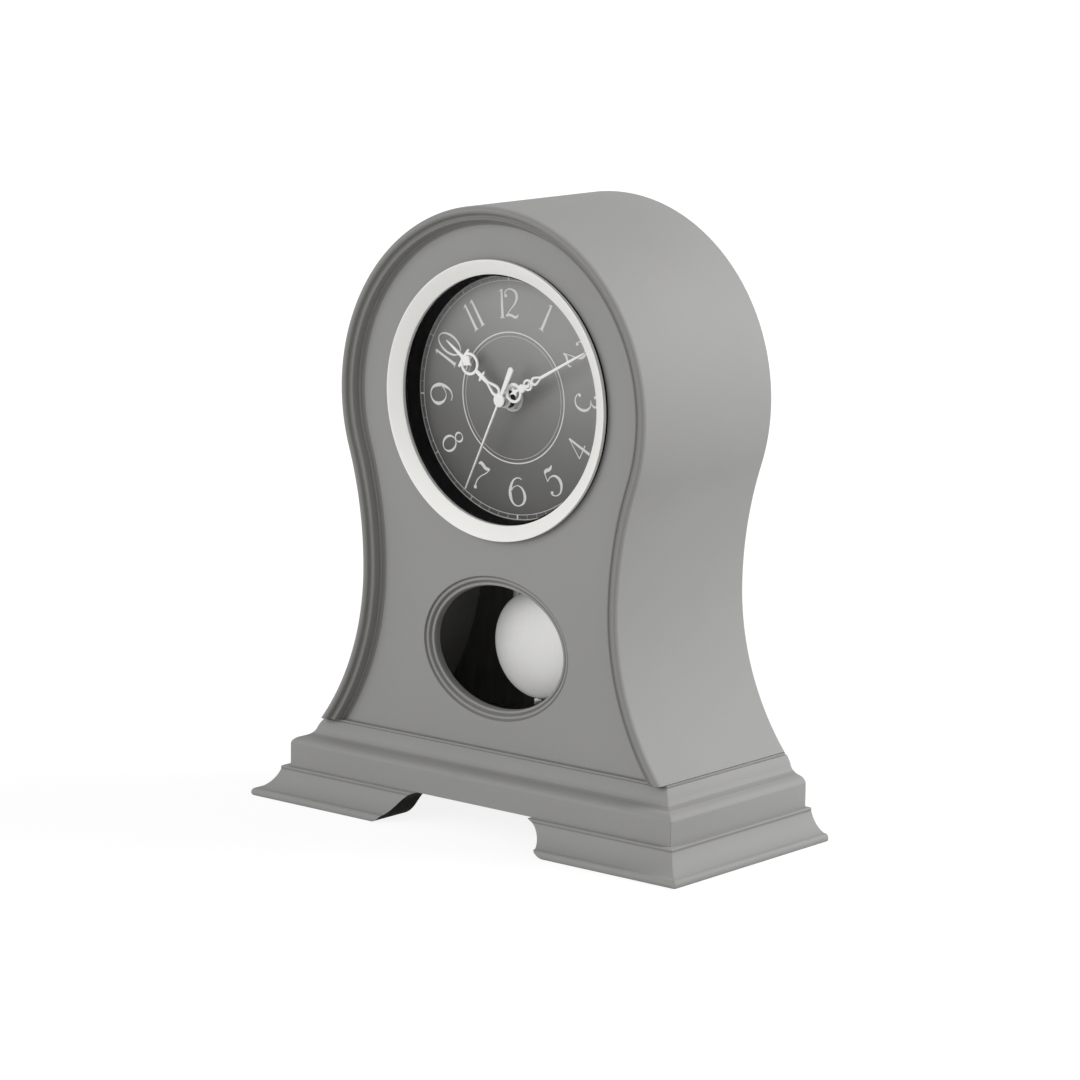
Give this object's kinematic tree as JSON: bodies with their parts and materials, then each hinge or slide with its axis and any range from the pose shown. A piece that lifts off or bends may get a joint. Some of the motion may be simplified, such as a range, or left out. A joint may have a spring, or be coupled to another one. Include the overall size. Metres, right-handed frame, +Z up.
{
  "type": "table clock",
  "caption": "Mantel clock with an arched waisted case on bracket feet, ornate hands over a round dial, a pendulum behind an oval window and a hinged back door",
  "frame": {"origin": "Middle of the base on the surface that the feet stand on", "axes": "+Z up, -Y towards the person who reads the dial, +X to that person's right"},
  "size_m": [0.27, 0.121, 0.3059],
  "materials": {
    "paint_grey": "matte grey paint over wood",
    "back_board": "dark stained board",
    "bezel_white": "satin off-white",
    "crystal": "clear polished",
    "black_plastic": "matte black",
    "white_plastic": "matte natural white",
    "dial_grey": "satin warm grey",
    "hand_white": "satin off-white",
    "brass": "satin",
    "steel": "satin",
    "copper": "enamelled copper wire",
    "green_board": "solder mask",
    "battery": "satin sleeve without print",
    "bob_silver": "satin silver"
  },
  "bodies": {
    "frame": {"foot_left": "paint_grey", "foot_right": "paint_grey", "plinth_frame": "paint_grey", "base_cap": "paint_grey", "case_shell": "paint_grey", "front_panel": "paint_grey", "back_board": "back_board", "catch_magnet": "black_plastic", "hinge_lower_fixed_leaf": "brass", "hinge_lower_pin": "brass", "hinge_upper_fixed_leaf": "brass", "hinge_upper_pin": "brass", "bezel": "bezel_white", "crystal": "crystal", "dial_surround": "black_plastic", "dial_plate": "dial_grey", "bush_washer": "steel", "bush_nut": "steel", "movement_housing": "black_plastic", "movement_cover": "black_plastic", "stator_plate": "steel", "step_coil": "copper", "circuit_board": "green_board", "battery_cell": "battery", "battery_contact_right": "steel", "battery_contact_left": "steel", "drive_coil": "copper", "lever_pin": "steel"},
    "door": {"back_door": "back_board", "door_pull": "brass", "catch_strike": "steel", "hinge_lower_door_leaf": "brass", "hinge_upper_door_leaf": "brass"},
    "hour": {"hour_wheel": "brass", "hour_hand": "hand_white"},
    "minute": {"minute_arbor": "brass", "minute_hand": "hand_white"},
    "motion": {"motion_wheel": "white_plastic"},
    "setting": {"setting_arbor": "white_plastic", "setting_knob": "black_plastic"},
    "second": {"second_wheel": "steel", "second_hand": "hand_white"},
    "third": {"third_wheel": "white_plastic"},
    "centre": {"centre_wheel": "white_plastic"},
    "middle": {"middle_wheel": "white_plastic"},
    "rotor": {"step_rotor": "steel"},
    "pendulum": {"drive_lever": "white_plastic", "drive_magnet": "steel", "pendulum_yoke": "steel", "pendulum_rod_left": "steel", "pendulum_rod_right": "steel", "pendulum_bob": "bob_silver", "rating_stem": "steel"},
    "rating": {"rating_nut": "steel"}
  },
  "joints": [
    {"name": "door_hinge", "type": "hinge", "parent": "frame", "child": "door", "pos_m": [0.0523, 0.0525, 0.158], "axis": [0, 0, -1], "range_deg": [0, 110]},
    {"name": "minute_turn", "type": "hinge", "parent": "frame", "child": "minute", "pos_m": [0, -0.0288, 0.212], "axis": [0, 1, 0], "continuous": true},
    {"name": "hour_turn", "type": "hinge", "parent": "frame", "child": "hour", "pos_m": [0, -0.027, 0.212], "axis": [0, 1, 0], "continuous": true},
    {"name": "motion_turn", "type": "hinge", "parent": "frame", "child": "motion", "pos_m": [0.008, -0.015, 0.212], "axis": [0, 1, 0], "continuous": true},
    {"name": "setting_turn", "type": "hinge", "parent": "frame", "child": "setting", "pos_m": [0.01625, 0, 0.212], "axis": [0, 1, 0], "continuous": true},
    {"name": "second_turn", "type": "hinge", "parent": "frame", "child": "second", "pos_m": [0, -0.0306, 0.212], "axis": [0, 1, 0], "continuous": true},
    {"name": "third_turn", "type": "hinge", "parent": "frame", "child": "third", "pos_m": [-0.01071, -0.012, 0.212], "axis": [0, 1, 0], "continuous": true},
    {"name": "centre_turn", "type": "hinge", "parent": "frame", "child": "centre", "pos_m": [0, -0.0135, 0.212], "axis": [0, 1, 0], "continuous": true},
    {"name": "middle_turn", "type": "hinge", "parent": "frame", "child": "middle", "pos_m": [0.0042, -0.009, 0.20473], "axis": [0, 1, 0], "continuous": true},
    {"name": "rotor_turn", "type": "hinge", "parent": "frame", "child": "rotor", "pos_m": [0.0078, -0.006, 0.19849], "axis": [0, 1, 0], "continuous": true},
    {"name": "pendulum_swing", "type": "hinge", "parent": "frame", "child": "pendulum", "pos_m": [0, -0.0084, 0.18], "axis": [0, 1, 0], "range_deg": [-8, 8]},
    {"name": "rating_nut_turn", "type": "hinge", "parent": "pendulum", "child": "rating", "pos_m": [0, 0.0028, 0.0587], "axis": [0, 0, 1], "range_deg": [-360, 360]}
  ],
  "couplings": [
    {"joint": "hour_turn", "follows": "minute_turn", "ratio": 0.083333},
    {"joint": "motion_turn", "follows": "minute_turn", "ratio": -0.33333},
    {"joint": "setting_turn", "follows": "minute_turn", "ratio": 0.88889},
    {"joint": "third_turn", "follows": "second_turn", "ratio": -0.13333},
    {"joint": "centre_turn", "follows": "second_turn", "ratio": 0.016667},
    {"joint": "middle_turn", "follows": "second_turn", "ratio": -6},
    {"joint": "rotor_turn", "follows": "second_turn", "ratio": 30}
  ]
}
